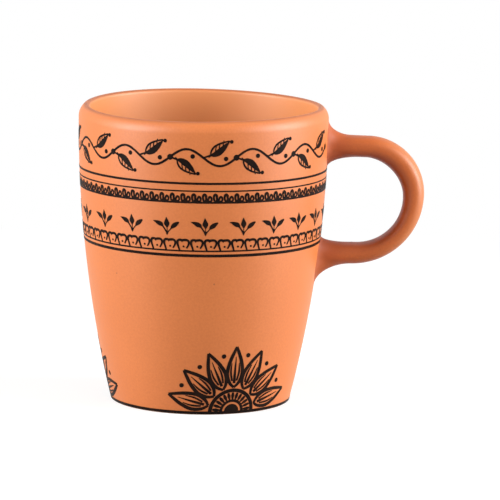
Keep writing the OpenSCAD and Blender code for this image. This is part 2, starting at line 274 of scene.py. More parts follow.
def section():
    """Points of a rounded oval: direction, half width across and half thickness outwards."""
    for i in range(RING_SIDES):
        turn = 2 * math.pi * i / RING_SIDES
        c, s = math.cos(turn), math.sin(turn)
        oval = [math.copysign(abs(u) ** (2 / SECTION_POWER), u) for u in (c, s)]
        yield c, s, HANDLE_W / 2 * oval[0], HANDLE_T / 2 * oval[1]


def root_ring(root, d):
    """Ring of a root at a distance from the wall. It spreads along a quarter of an ellipse."""
    arm_z, up, outer, inner, arm_l = root
    ring = []
    for c, s, across, outward in section():
        flare, run = outer if s > 0 else inner
        full = SIDE_FLARE * c * c + flare * s * s
        left = min(1, max(0, 1 - d / (SIDE_RUN * c * c + run * s * s)))
        spread = full * (1 - math.sqrt(1 - left * left))
        y = across + spread * c
        z = arm_z + up * (outward + spread * s - ARM_LEAN * d / arm_l)
        ring.append((math.sqrt(wall_at(z) ** 2 - y * y) + d, y, z))
    return ring


def bend_ring(turn, radius):
    """Ring of the loop at an angle from the top. Its inside is thicker above and thinner below."""
    s, c = math.sin(math.radians(turn)), math.cos(math.radians(turn))
    swell = 1 + 2 * BEND_SWELL / HANDLE_T * 2 * s * c
    ring = []
    for _, _, across, outward in section():
        reach = radius + (outward * swell if outward < 0 else outward)
        ring.append((LOOP_X - radius + reach * s, across, LOOP_Z + reach * c))
    return ring


def root_rings(root):
    """Rings of a root from its slip almost to the bend, closer together near the wall."""
    last = ARM_SHARE * root[-1]
    shares = [(i / ROOT_STEPS) ** 2 for i in range(ROOT_STEPS + 1)]
    return [root_ring(root, SLIP_T + (last - SLIP_T) * share) for share in shares]


print("arms of the handle, mm:", [round(root[-1], 2) for root in (UPPER_ROOT, LOWER_ROOT)])

# %% Extrude the handle
BEND_STEPS = 44


def loft(name, rings):
    """A closed piece: a circle extruded from ring to ring, with a face over each end."""
    fresh(name, bpy.ops.mesh.primitive_circle_add, vertices=RING_SIDES, radius=MM)
    for k, ring in enumerate(rings):
        if k:
            bpy.ops.mesh.extrude_region_move()
        for vertex, place in zip(picked(), ring):
            vertex.co = Vector(place) * MM
    bpy.ops.mesh.select_all(action="SELECT")
    bpy.ops.mesh.fill_holes(sides=0)
    return close_up()


turns = [90 * i / BEND_STEPS for i in range(BEND_STEPS + 1)]
handle_rings = root_rings(UPPER_ROOT)
handle_rings += [bend_ring(t, UPPER_RADIUS) for t in turns]
handle_rings += [bend_ring(90 + t, LOWER_RADIUS) for t in turns[1:]]
handle_rings += reversed(root_rings(LOWER_ROOT))
clay_handle = loft("clay_handle", handle_rings)

# %% [markdown]
# ## The slip at the roots
# The potter sticks the handle on with slip, wipes the extra off and leaves a small fillet that runs
# out onto the wall. Each fillet is lofted from the same root formula, from the first ring of the
# handle down to the wall. The rings crowd together near the wall, where the fillet turns flattest,
# and the last one lies just inside the clay, so that no gap can open.

# %% Fillets of slip
SLIP_SINK = 0.25
FILLET_STEPS = 14


def slip_fillet(name, root):
    """The fillet of one root, from the handle's first ring down into the wall."""
    rings = [root_ring(root, SLIP_T * (i / FILLET_STEPS) ** 2) for i in range(FILLET_STEPS, -1, -1)]
    sunk = [(x - SLIP_SINK, y, z) for x, y, z in rings[-1]]
    return loft(name, rings + [sunk])


upper_slip_fillet = slip_fillet("upper_slip_fillet", UPPER_ROOT)
lower_slip_fillet = slip_fillet("lower_slip_fillet", LOWER_ROOT)

# %% [markdown]
# ## How the ink is drawn
# The ornament on the real cup is a fired transfer: flat black strokes a few hundredths of a
# millimetre thick. It could be painted in the material, but then it would be lost in the mesh files,
# so each motif is modelled. A stroke starts as a plane, and its far edge is extruded along the pen's
# path, as wide as the pen is there. The flat motif gets its thickness with Solidify, is laid on the
# wall, and is repeated round the axis with Spin's duplicates.

# %% Pen strokes
INK_TOP, INK_T = 0.07, 0.1


def smooth_path(points, steps, closed=False):
    """A soft curve through given points of x, y and pen width."""
    count = len(points)
    spans = count if closed else count - 1
    path = []
    for k in range(spans):
        near = [points[(k + j) % count] if closed else points[min(max(k + j, 0), count - 1)]
                for j in (-1, 0, 1, 2)]
        for i in range(steps):
            t = i / steps
            mix = (-t + 2 * t ** 2 - t ** 3, 2 - 5 * t ** 2 + 3 * t ** 3,
                   t + 4 * t ** 2 - 3 * t ** 3, t ** 3 - t ** 2)
            path.append([sum(m * p[a] for m, p in zip(mix, near)) / 2 for a in range(3)])
    path.append(list(points[0] if closed else points[-1]))
    return path


def pen_edges(path, closed):
    """Left and right edge of the stroke at each point of its path."""
    for k, (x, y, w) in enumerate(path):
        before = path[k - 1] if k else path[-2 if closed else 0]
        after = path[k + 1] if k + 1 < len(path) else path[1 if closed else -1]
        along = Vector((after[0] - before[0], after[1] - before[1])).normalized()
        half = max(w, 0) / 2
        yield ((x - along.y * half, y + along.x * half, INK_TOP),
               (x + along.y * half, y - along.x * half, INK_TOP))


def stroke(points, steps=4, closed=False):
    """Draw one pen stroke into the flat motif that is in edit mode."""
    path = smooth_path(points, steps, closed)
    rows = [[Vector(p) * MM for p in pair] for pair in pen_edges(path, closed)]
    bpy.ops.mesh.select_all(action="DESELECT")
    bpy.ops.mesh.primitive_plane_add(size=MM)
    corners = picked()
    for vertex, place in zip(corners, rows[0] + rows[1]):
        vertex.co = place
    for vertex in corners[:2]:
        vertex.select_set(False)
    edit_mesh().select_flush_mode()
    for row in rows[2:]:
        bpy.ops.mesh.extrude_region_move()
        for vertex, place in zip(picked(), row):
            vertex.co = place


def dot(x, y, radius, sides=14):
    """Draw a round dot into the flat motif that is in edit mode."""
    bpy.ops.mesh.select_all(action="DESELECT")
    bpy.ops.mesh.primitive_circle_add(
        vertices=sides, radius=radius * MM, fill_type="TRIFAN", location=Vector((x, y, INK_TOP)) * MM)


print("ink stands", INK_TOP, "mm proud of the clay")

# %% Ink on the wall
FRONT = -math.pi / 2
INK_SMOOTH_ANGLE = 30


def motif(name):
    """Start a flat motif: an empty mesh in edit mode. Its x runs round the cup and its y up the wall."""
    fresh(name, bpy.ops.mesh.primitive_plane_add, size=MM)
    bpy.ops.mesh.delete(type="VERT")


def lay_on_wall(turn_deg, z):
    """Thicken the flat motif and lay its zero on the wall, at an angle from the front and a height."""
    bpy.ops.mesh.select_all(action="SELECT")
    bpy.ops.mesh.remove_doubles(threshold=SAME_SPOT * MM)
    mesh = edit_mesh()
    mesh.normal_update()
    for face in mesh.faces:
        face.select_set(face.normal.z < 0)
    bmesh.update_edit_mesh(bpy.context.object.data)
    bpy.ops.mesh.flip_normals()
    bpy.ops.object.mode_set(mode="OBJECT")
    bpy.ops.object.modifier_add(type="SOLIDIFY")
    solidify = bpy.context.object.modifiers[-1]
    solidify.thickness = INK_T * MM
    solidify.offset = -1
    bpy.ops.object.modifier_apply(modifier=solidify.name)
    for vertex in bpy.context.object.data.vertices:
        x, y, proud = vertex.co / MM
        radius = wall_at(z + y)
        turn = FRONT + math.radians(turn_deg) + x / radius
        reach = radius + proud
        vertex.co = Vector((reach * math.cos(turn), reach * math.sin(turn), z + y)) * MM
    bpy.ops.object.mode_set(mode="EDIT")


def repeat(count):
    """Copy the motif round the cup."""
    bpy.ops.mesh.select_all(action="SELECT")
    bpy.ops.mesh.spin(steps=count - 1, dupli=True, angle=2 * math.pi * (count - 1) / count,
                      center=(0, 0, 0), axis=(0, 0, 1))


def finish_ink():
    """Leave edit mode and shade the ink by angle."""
    bpy.ops.object.mode_set(mode="OBJECT")
    bpy.ops.object.shade_smooth_by_angle(angle=math.radians(INK_SMOOTH_ANGLE))
    piece = bpy.context.object
    print(piece.name, "has", len(piece.data.polygons), "faces")
    return piece


print("round the middle of the cup, mm:", round(2 * math.pi * wall_at(CUP_H / 2), 1))

# %% [markdown]
# ## Plain lines
# Five plain lines frame the rows of ornament and close the foot. Each is a small upright rectangle
# that lies on the wall and is spun about the axis. The lower heavy line runs into the root of the
# handle, so its rectangle is spun only from one side of the root round to the other.

# %% Lines round the cup
LINE_STEPS = 288


def band(z, height, gap_deg=0):
    """In edit mode: add a band of ink round the cup, open by an angle on the handle's side."""
    low, high = z - height / 2, z + height / 2
    bpy.ops.mesh.select_all(action="DESELECT")
    bpy.ops.mesh.primitive_plane_add(size=MM)
    turn = math.radians(gap_deg / 2)
    depths = (INK_TOP - INK_T, INK_TOP)
    spots = [(wall_at(level) + depth, level) for level in (low, high) for depth in depths]
    for vertex, (radius, level) in zip(picked(), spots):
        vertex.co = Vector((radius * math.cos(turn), radius * math.sin(turn), level)) * MM
    bpy.ops.mesh.delete(type="ONLY_FACE")
    for vertex in list(edit_mesh().verts)[-len(spots):]:
        vertex.select_set(True)
    edit_mesh().select_flush(True)
    bpy.ops.mesh.spin(steps=LINE_STEPS, angle=2 * math.pi - 2 * turn, center=(0, 0, 0), axis=(0, 0, 1))


def line(name, z, height, gap_deg=0):
    """A plain line of ink as a piece of its own."""
    motif(name)
    band(z, height, gap_deg)
    bpy.ops.mesh.select_all(action="SELECT")
    bpy.ops.mesh.remove_doubles(threshold=SAME_SPOT * MM)
    bpy.ops.mesh.fill_holes(sides=4)
    bpy.ops.mesh.normals_make_consistent(inside=False)
    return finish_ink()


UPPER_LINE_Z, UPPER_FINE_Z = 75.5, 73.1
LOWER_FINE_Z, LOWER_LINE_Z = 54.0, 52.5
FOOT_LINE_Z = 0.68
LINE_H, LOWER_LINE_H, FOOT_LINE_H = 0.7, 0.9, 0.95
FINE_LINE_H, LOWER_FINE_H = 0.45, 0.5
ROOT_GAP = 18
ink_upper_line = line("ink_upper_line", UPPER_LINE_Z, LINE_H)
ink_upper_fine_line = line("ink_upper_fine_line", UPPER_FINE_Z, FINE_LINE_H)
ink_lower_fine_line = line("ink_lower_fine_line", LOWER_FINE_Z, LOWER_FINE_H)
ink_lower_line = line("ink_lower_line", LOWER_LINE_Z, LOWER_LINE_H, gap_deg=ROOT_GAP)
ink_foot_line = line("ink_foot_line", FOOT_LINE_Z, FOOT_LINE_H)

# %% [markdown]
# ## The loop border
# A row of small loops stands on a solid band, a tall one and a short one by turns, like a lace edge.
# One pair is drawn with closed strokes that are thicker over the top, and the pair is repeated 73
# times. The loops reach down into the band, so that they are one piece of ink to the eye.

# %% Loop border
LOOP_PAIRS, LOOP_TURN = 73, 0.75
LOOP_BASE_Z, LOOP_BASE_H = 69.5, 0.6

motif("ink_loop_border")
stroke([(-0.10, 0.40, 0.64), (-0.44, 1.40, 0.62), (-0.36, 2.20, 0.79), (0.06, 2.52, 0.94),
        (0.48, 2.18, 0.79), (0.52, 1.50, 0.66), (0.62, 0.75, 0.86)], steps=3, closed=True)
stroke([(1.30, 0.45, 0.58), (1.24, 1.15, 0.56), (1.70, 1.88, 0.76), (2.20, 1.42, 0.58),
        (2.16, 0.60, 0.58)], steps=3, closed=True)
stroke([(0.55, 0.45, 0.75), (1.30, 0.45, 0.70)], steps=1)
lay_on_wall(LOOP_TURN, LOOP_BASE_Z)
repeat(LOOP_PAIRS)
band(LOOP_BASE_Z, LOOP_BASE_H)
bpy.ops.mesh.select_all(action="SELECT")
bpy.ops.mesh.remove_doubles(threshold=SAME_SPOT * MM)
ink_loop_border = finish_ink()

# %% [markdown]
# ## The sprigs
# Twenty sprigs of three leaves stand in the middle of the wide band. The left leaf is long and
# flat, the right one short and steep, and the middle one is a lozenge on a hair-thin stem. Each leaf
# is one stroke whose pen opens and closes again. The stems run together in a small wedge. The row was
# laid on by hand: right of the front its sprigs stand a little closer together, which is made up
# again before the back.

# %% Sprig row
SPRIG_COUNT = 20
SPRIG_Z, SPRIG_TURN = 58.9, 1.5
CLOSER_FROM, CLOSEST, CLOSER_TO, CLOSER_BY = 1, 5, 10, 8.2

motif("ink_sprig_row")
stroke([(-1.34, 2.65, 0.46), (-1.85, 3.25, 1.25), (-2.55, 3.62, 1.45), (-3.55, 4.05, 0.90),
        (-4.75, 4.40, 0.0)], steps=4)
stroke([(1.26, 2.05, 0.34), (1.80, 2.72, 1.18), (2.50, 3.28, 1.44), (3.20, 3.80, 1.05),
        (3.85, 4.22, 0.40)], steps=4)
stroke([(0.0, 2.30, 0.26), (-0.02, 2.85, 1.05), (-0.08, 3.65, 1.80), (-0.16, 4.70, 1.02),
        (-0.24, 5.75, 0.0)], steps=4)
stroke([(-0.05, 0.75, 0.62), (-0.6, 1.6, 0.48), (-1.4, 2.75, 0.50)], steps=4)
stroke([(0.05, 0.75, 0.55), (0.62, 1.35, 0.32), (1.32, 2.12, 0.36)], steps=4)
stroke([(0.0, 0.9, 0.5), (0.02, 1.5, 0.24), (0.0, 2.4, 0.30)], steps=3)
stroke([(0.0, -0.08, 0.0), (0.0, 0.5, 0.66), (0.0, 1.12, 1.08), (0.0, 1.32, 0.8)], steps=3)
lay_on_wall(SPRIG_TURN, SPRIG_Z)
repeat(SPRIG_COUNT)
ink_sprig_row = finish_ink()

for vertex in ink_sprig_row.data.vertices:
    turn = math.degrees(math.atan2(vertex.co.y, vertex.co.x) - FRONT) - SPRIG_TURN
    k = round(turn * SPRIG_COUNT / 360) % SPRIG_COUNT
    growing = (k - CLOSER_FROM) / (CLOSEST - CLOSER_FROM)
    fading = (CLOSER_TO - k) / (CLOSER_TO - CLOSEST)
    back = -math.radians(CLOSER_BY) * max(0, min(growing, fading))
    vertex.co = Matrix.Rotation(back, 3, "Z") @ vertex.co
print("sprigs close up by at most", CLOSER_BY, "degrees")

# %% [markdown]
# ## The scallop border
# A row of 56 petals stands on the lower fine line. Each is drawn in one go: up the left side, over
# two lobes with a dip between them, and down the right side, which stops short of the line. A little
# barb hangs from the dip, and a dot sits low in the petal.

# %% Scallop border
SCALLOP_COUNT = 56
SCALLOP_Z, SCALLOP_TURN = 54.0, -2.25

motif("ink_scallop_border")
stroke([(-1.20, 0.0, 0.55), (-1.66, 1.4, 0.62), (-1.96, 2.4, 0.72), (-1.88, 3.10, 0.80),
        (-1.45, 3.50, 0.80), (-0.9, 3.50, 0.80), (-0.5, 3.36, 0.82), (0.05, 3.46, 0.80),
        (0.75, 3.52, 0.80), (1.38, 3.28, 0.78), (1.70, 2.60, 0.70), (1.44, 1.72, 0.58),
        (0.9, 0.80, 0.46)], steps=2)
stroke([(-0.5, 3.2, 0.6), (-0.48, 2.70, 0.05)], steps=2)
dot(0.0, 1.42, 0.34, sides=10)
lay_on_wall(SCALLOP_TURN, SCALLOP_Z)
repeat(SCALLOP_COUNT)
ink_scallop_border = finish_ink()

# %% [markdown]
# ## The running vine under the lip
# A plain vine runs round the cup under the lip, with an outlined leaf in every hollow of the wave and
# berries beside the stem. One wave is drawn with its two leaves and a berry at its start, and is
# repeated twelve times. The wave that would lie on the root of the handle is deleted, so that the vine
# ends in a berry on each side of it.

# %% One wave of the vine
VINE_WAVES = 12
VINE_Z, VINE_RISE = 83.7, 2.6
LEAF_L, LEAF_W, LEAF_RISE, LEAF_LEAN = 7.4, 3.6, 3.0, 52
WAVE_STEPS, VINE_PEN, LEAF_PEN, BERRY_KEEP = 16, 0.72, 0.6, 0.03
wave_l = 2 * math.pi * wall_at(VINE_Z) / VINE_WAVES


def placed(points, x, y, lean_deg):
    """Points of a part turned clockwise from upright and moved into the motif."""
    c, s = math.cos(math.radians(lean_deg)), math.sin(math.radians(lean_deg))
    return [(x + (px * c + py * s), y + (py * c - px * s), w) for px, py, w in points]


def leaf_half(length, width, pen, side):
    """One side of a leaf's outline, from its root to its tip."""
    shares = (0, 0.12, 0.35, 0.62, 0.85, 1)
    swell = (0, 0.62, 1.0, 0.78, 0.33, 0)
    weight = (0.7, 0.9, 1.0, 1.0, 0.9, 0.7)
    return [(side * width / 2 * b, length * (a - 0.5), pen * w)
            for a, b, w in zip(shares, swell, weight)]


def veined_leaf(x, y, lean_deg, length, width, pen, dark_side):
    """A leaf in outline, with one half filled in and side veins in the other half."""
    for side in (-1, 1):
        stroke(placed(leaf_half(length, width - pen, pen, side), x, y, lean_deg), steps=3)
    filled = [(px / 2, py, abs(px)) for px, py, _ in leaf_half(length, width - pen, pen, dark_side)]
    stroke(placed(filled, x, y, lean_deg), steps=3)
    light_side = -dark_side
    for share in (-0.24, -0.04, 0.16):
        vein = [(0, share * length, pen * 0.6),
                (light_side * width * 0.18, (share + 0.07) * length, pen * 0.6),
                (light_side * width * 0.34, (share + 0.17) * length, pen * 0.4)]
        stroke(placed(vein, x, y, lean_deg), steps=2)
    rib = [(0, -0.62 * length, pen * 0.9), (0, -0.1 * length, pen * 0.7), (0, 0.34 * length, pen * 0.3)]
    stroke(placed(rib, x, y, lean_deg), steps=3)


motif("ink_leaf_frieze")
wave = []
for i in range(WAVE_STEPS + 1):
    share = i / WAVE_STEPS - 0.5
    wave.append((share * wave_l, -VINE_RISE * math.sin(2 * math.pi * share), VINE_PEN))
stroke(wave, steps=2)
for side in (1, -1):
    leaf_x = side * wave_l / 4
    lean = LEAF_LEAN if side > 0 else 180 - LEAF_LEAN
    veined_leaf(leaf_x, side * LEAF_RISE, lean, LEAF_L, LEAF_W, LEAF_PEN, side)
    stroke([(leaf_x - 5.2, 0, 0.6), (leaf_x - 4.3, side * 0.3, 0.56),
            (leaf_x - 2.7, side * 0.97, 0.5)], steps=3)
    dot(leaf_x + 1.9, -side * 0.35, 0.72)
    dot(leaf_x + 3.6, side * 5.0, 0.6)
dot(-wave_l / 2, 0, 0.95)
lay_on_wall(0, VINE_Z)
repeat(VINE_WAVES)
half_wave = math.pi / VINE_WAVES
pick(lambda v: abs(math.atan2(v.co.y, v.co.x)) < half_wave - BERRY_KEEP)
bpy.ops.mesh.delete(type="VERT")
ink_leaf_frieze = finish_ink()

# %% [markdown]
# ## The rosettes at the foot
# Three half rosettes rise from the foot line, drawn with a bolder pen: seven pointed petals fan out
# from a heart of rings and wedges. One petal is a function, so the fan is a loop over its angle.

# %% Half rosettes
ROSETTE_COUNT, ROSETTE_TURN = 3, 20
HEART_Z, HEART_R, ROSETTE_R = 1.1, 8.0, 21.5
PETALS, PETAL_STEP, PETAL_W, PETAL_PEN = 7, 25, 6.2, 1.15
TIP_DOT_IN, TIP_DOT_R = 2.6, 0.75
HEART_RINGS = ((1.2, 2.4), (3.5, 0.9), (7.0, 1.2))
WEDGE = [(0, 3.7, 0.3), (0, 5.2, 1.05), (0, 6.3, 0.6)]
WEDGE_TURNS, RING_TURNS = range(-84, 85, 14), range(-90, 91, 10)


def petal(lean_deg, inner_r, outer_r, width, pen):
    """Outline of a pointed petal with a vein and two short hairs."""
    length = outer_r - inner_r
    middle = (inner_r + outer_r) / 2

    def at(points):
        stroke(placed([(x, y + middle, w) for x, y, w in points], 0, 0, lean_deg), steps=3)

    for side in (-1, 1):
        at(leaf_half(length, width - pen, pen, side))
        at([(side * width * 0.12, -0.34 * length, pen * 0.5),
            (side * width * 0.22, -0.12 * length, pen * 0.55),
            (side * width * 0.2, 0.1 * length, pen * 0.2)])
    at([(0, -0.4 * length, pen * 0.8), (0, -0.1 * length, pen * 0.65), (0, 0.26 * length, pen * 0.15)])


motif("ink_foot_rosettes")
leans = [(k - (PETALS - 1) / 2) * PETAL_STEP for k in range(PETALS)]
for lean in leans:
    petal(lean, HEART_R, ROSETTE_R, PETAL_W, PETAL_PEN)
for lean in leans[:-1]:
    x, y, _ = placed([(0, ROSETTE_R - TIP_DOT_IN, 0)], 0, 0, lean + PETAL_STEP / 2)[0]
    dot(x, y, TIP_DOT_R)
for radius, pen in HEART_RINGS:
    stroke([placed([(0, radius, pen)], 0, 0, turn)[0] for turn in RING_TURNS], steps=2)
for turn in WEDGE_TURNS:
    stroke(placed(WEDGE, 0, 0, turn), steps=2)
lay_on_wall(ROSETTE_TURN, HEART_Z)
repeat(ROSETTE_COUNT)
ink_foot_rosettes = finish_ink()

# %% [markdown]
# ## Shared surface effect: fired clay
# Fired clay is never one flat colour. Soft clouds come from the kiln, fine grain from the clay itself,
# and here and there a dark speck burns through. One node group makes all three from the piece's own
# coordinates, and each material takes what it needs from it.

# %% Node group for fired clay
CLOUD_DETAIL, GRAIN_DETAIL = 4, 3
SPECK_EDGE, SPECK_CORE = 0.10, 0.05


def add(tree, kind, **values):
    """Add a node and set its plain properties."""
    node = tree.nodes.new(kind)
    for key, value in values.items():
        setattr(node, key, value)
    return node


def new_group(name, inputs, outputs):
    """An empty node group with named sockets."""
    group = bpy.data.node_groups.new(name, "ShaderNodeTree")
    for socket, value in inputs.items():
        made = group.interface.new_socket(socket, in_out="INPUT", socket_type="NodeSocketFloat")
        made.default_value = value
    for socket in outputs:
        group.interface.new_socket(socket, in_out="OUTPUT", socket_type="NodeSocketFloat")
    return group, add(group, "NodeGroupInput"), add(group, "NodeGroupOutput")


fired, given, result = new_group(
    "fired_surface", {"Cloud scale": 45, "Grain scale": 1500, "Speck scale": 260, "Speck share": 0.1},
    ["Cloud", "Grain", "Speck"])
coords = add(fired, "ShaderNodeTexCoord")
cloud = add(fired, "ShaderNodeTexNoise")
cloud.inputs["Detail"].default_value = CLOUD_DETAIL
grain = add(fired, "ShaderNodeTexNoise")
grain.inputs["Detail"].default_value = GRAIN_DETAIL
cells = add(fired, "ShaderNodeTexVoronoi")
near = add(fired, "ShaderNodeMapRange")
near.inputs["From Min"].default_value = SPECK_EDGE
near.inputs["From Max"].default_value = SPECK_CORE
pick_cell = add(fired, "ShaderNodeSeparateColor")
chosen = add(fired, "ShaderNodeMath", operation="LESS_THAN")
speck = add(fired, "ShaderNodeMath", operation="MULTIPLY")
for texture, scale in ((cloud, "Cloud scale"), (grain, "Grain scale"), (cells, "Speck scale")):
    fired.links.new(coords.outputs["Object"], texture.inputs["Vector"])
    fired.links.new(given.outputs[scale], texture.inputs["Scale"])
fired.links.new(cells.outputs["Distance"], near.inputs["Value"])
fired.links.new(cells.outputs["Color"], pick_cell.inputs["Color"])
fired.links.new(pick_cell.outputs["Red"], chosen.inputs[0])
fired.links.new(given.outputs["Speck share"], chosen.inputs[1])
fired.links.new(near.outputs["Result"], speck.inputs[0])
fired.links.new(chosen.outputs["Value"], speck.inputs[1])
fired.links.new(cloud.outputs["Fac"], result.inputs["Cloud"])
fired.links.new(grain.outputs["Fac"], result.inputs["Grain"])
fired.links.new(speck.outputs["Value"], result.inputs["Speck"])
print("node group:", fired.name)

# %% [markdown]
# ## Matt terracotta
# The glaze on this cup is a thin satin skin: saturated orange where it looks at you, and a wide pale
# sheen where the light grazes it. That is a Principled shader with a medium roughness. Clouds and grain
# move its colour and its roughness a little, and grain and specks make a fine bump. A few helpers come
# first: each adds a node, feeds it and hands back what comes out of it.

# %% Material helpers
MIX_LOW, MIX_HIGH, MIX_COLOUR = 6, 7, 2


def srgb(*values):
    """A colour as it is read off a screen, in Blender's linear values."""
    return [((v / 255 + 0.055) / 1.055) ** 2.4 for v in values] + [1]


def principled(name):
    """A new material, its node tree and its Principled node."""
    material = bpy.data.materials.new(name)
    material.use_nodes = True
    return material, material.node_tree, material.node_tree.nodes["Principled BSDF"]


def fired_node(tree, **values):
    """The shared group in a material, with its own values."""
    node = add(tree, "ShaderNodeGroup", node_tree=fired)
    for socket, value in values.items():
        node.inputs[socket.replace("_", " ")].default_value = value
    return node


def feed(tree, value, socket):
    """Link an output to a socket, or set the socket to a plain value."""
    if isinstance(value, bpy.types.NodeSocket):
        tree.links.new(value, socket)
    else:
        socket.default_value = value


def mix_colours(tree, mask, low, high):
    """Mix two colours, linked or plain, by a mask."""
    node = add(tree, "ShaderNodeMix", data_type="RGBA")
    tree.links.new(mask, node.inputs["Factor"])
    feed(tree, low, node.inputs[MIX_LOW])
    feed(tree, high, node.inputs[MIX_HIGH])
    return node.outputs[MIX_COLOUR]


def map_range(tree, value, old, new):
    """Carry a value from one span over to another, and stop at the ends."""
    node = add(tree, "ShaderNodeMapRange")
    tree.links.new(value, node.inputs["Value"])
    for socket, number in zip(("From Min", "From Max", "To Min", "To Max"), (*old, *new)):
        node.inputs[socket].default_value = number
    return node.outputs["Result"]


def calc(tree, operation, *values):
    """A Math node: linked sockets and plain numbers in, one value out."""
    node = add(tree, "ShaderNodeMath", operation=operation)
    for value, socket in zip(values, node.inputs):
        feed(tree, value, socket)
    return node.outputs["Value"]


def distance(tree, a, b):
    """Length of the longest side of a right triangle."""
    return calc(tree, "SQRT", calc(tree, "ADD", calc(tree, "POWER", a, 2), calc(tree, "POWER", b, 2)))


# Painted light: the inside tone is a paler tan for the sheen that the inner wall catches.
CLAY_DARK, CLAY_LIGHT, CLAY_INSIDE_PAINTED_LIGHT = srgb(202, 110, 50), srgb(211, 118, 57), srgb(213, 137, 82)
# Painted shade: the lip tone darkens the crest of the lip against the light its top catches.
CLAY_LIP_PAINTED_SHADE, BARE_CLAY, SPECK_COLOUR = srgb(176, 95, 44), srgb(214, 150, 112), srgb(120, 62, 36)
# Painted shade: the handle's two tones are a darker copy of the clay for the shade the handle sits in.
HANDLE_SHADED_DARK, HANDLE_SHADED_LIGHT = srgb(193, 92, 25), srgb(203, 100, 33)
# Painted shade inside the loop, and a painted highlight on the outer bend.
HANDLE_PAINTED_SHADE, HANDLE_PAINTED_HIGHLIGHT = srgb(150, 60, 10), srgb(192, 117, 66)
# Painted shade at the roots, where the handle meets the wall, along with smeared slip.
ROOT_PAINTED_SHADE = srgb(150, 64, 22)
print("pale clay in linear values:", [round(value, 3) for value in CLAY_LIGHT[:3]])

# %% [markdown]
# ## Where the colour changes
# The inside of the cup is painted a paler tan, a painted light for the sheen the inner wall catches, and
# the crest of the lip is painted darker, a painted shade. The flat of the foot ring, which is wiped
# before firing, is paler and dull. On the handle, painted shade darkens the inside of the loop, a
# painted highlight pales the outer bend, and painted shade darkens the roots where they meet the wall
# and slip was smeared. Each of these needs a mask. The distance from the middle of the wall's long arc
# says how deep a point lies in the wall, and the distance from the middle of a bend says on which side
# of the handle it lies.

# %% Masks on the clay
LIP_INNER_EDGE, LIP_OUTER_EDGE = (0.05, 0.4), (1.1, 1.8)
INSIDE_SHARES = (0.3, 0.7)


def lip_mask(tree, radius, z):
    """1 along the crest of the lip, 0 on both walls."""
    inner_side = map_range(tree, radius, [(INNER_R + edge) * MM for edge in LIP_INNER_EDGE], (0, 1))
    outer_side = map_range(tree, radius, [(CUP_R - edge) * MM for edge in LIP_OUTER_EDGE], (0, 1))
    height = map_range(tree, z, (RIM_FROM * MM, shoulder_z * MM), (0, 1))
    return calc(tree, "MULTIPLY", calc(tree, "MULTIPLY", inner_side, outer_side), height)


def wall_depth(tree, radius, z):
    """How deep a point lies under the outer wall's long arc. Outside the wall it is below 0."""
    from_x = calc(tree, "SUBTRACT", radius, belly[0] * MM)
    from_z = calc(tree, "SUBTRACT", z, belly[1] * MM)
    return calc(tree, "SUBTRACT", belly_r * MM, distance(tree, from_x, from_z))


def inside_mask(tree, radius, z):
    """1 on the inner wall and the floor inside, 0 on the outer wall and under the foot."""
    depth = wall_depth(tree, radius, z)
    inner = map_range(tree, depth, [share * WALL * MM for share in INSIDE_SHARES], (0, 1))
    above = map_range(tree, z, (FOOT_RECESS * MM, floor_z * MM), (0, 1))
    return calc(tree, "MULTIPLY", inner, above)


def outside_loop(tree, x, z):
    """How far a point of the handle lies outside the middle line of its loop. Inside it is below 0."""
    above = calc(tree, "GREATER_THAN", z, LOOP_Z * MM)
    bend_r = map_range(tree, above, (0, 1), (LOWER_RADIUS * MM, UPPER_RADIUS * MM))
    past_arm = calc(tree, "SUBTRACT", x, calc(tree, "SUBTRACT", LOOP_X * MM, bend_r))
    along = calc(tree, "MAXIMUM", past_arm, 0)
    across = calc(tree, "SUBTRACT", z, LOOP_Z * MM)
    return calc(tree, "SUBTRACT", distance(tree, along, across), bend_r)


print("middles of the bends, mm:", round(LOOP_X - UPPER_RADIUS, 2), round(LOOP_X - LOWER_RADIUS, 2))

# %% Terracotta and slip
MOTTLE_GRAIN, MOTTLE_CLOUD, MOTTLE_SPAN = 0.6, 0.4, (0.36, 0.64)
SATIN, GLOSS, DULLED = (0.44, 0.54), 0.66, 0.3
SPECK_SHARE, SPECK_STRENGTH, SPECK_PIT = 0.06, 0.55, -2
BUMP_STRENGTH, BUMP_DEPTH = 0.18, 0.15
WIPED_Z = (0.35, 0.1)
# Shares of the painted shade inside the loop, the painted highlight on the bend and the painted shade at
# the roots.
LOOP_SHADE_SHARE, BEND_HIGHLIGHT_SHARE, ROOT_SHADE_SHARE = 0.85, 0.9, 0.65
HIGHLIGHT_FROM, HIGHLIGHT_TO, ROOT_SHADE_REACH = 14, 2, 9


def body_marks(tree, colour, rough, axes, radius):
    """The body: paler inside, a painted light; darker along the lip, a painted shade; bare and dull on
    the foot ring.
    """
    z = axes["Z"]
    # Painted light: the inner wall is painted a paler tan for its sheen.
    colour = mix_colours(tree, inside_mask(tree, radius, z), colour, CLAY_INSIDE_PAINTED_LIGHT)
    # Painted shade: the crest of the lip is painted darker.
    colour = mix_colours(tree, lip_mask(tree, radius, z), colour, CLAY_LIP_PAINTED_SHADE)
    wiped = map_range(tree, z, [level * MM for level in WIPED_Z], (0, 1))
    colour = mix_colours(tree, wiped, colour, BARE_CLAY)
    return colour, calc(tree, "MULTIPLY_ADD", wiped, DULLED, rough)


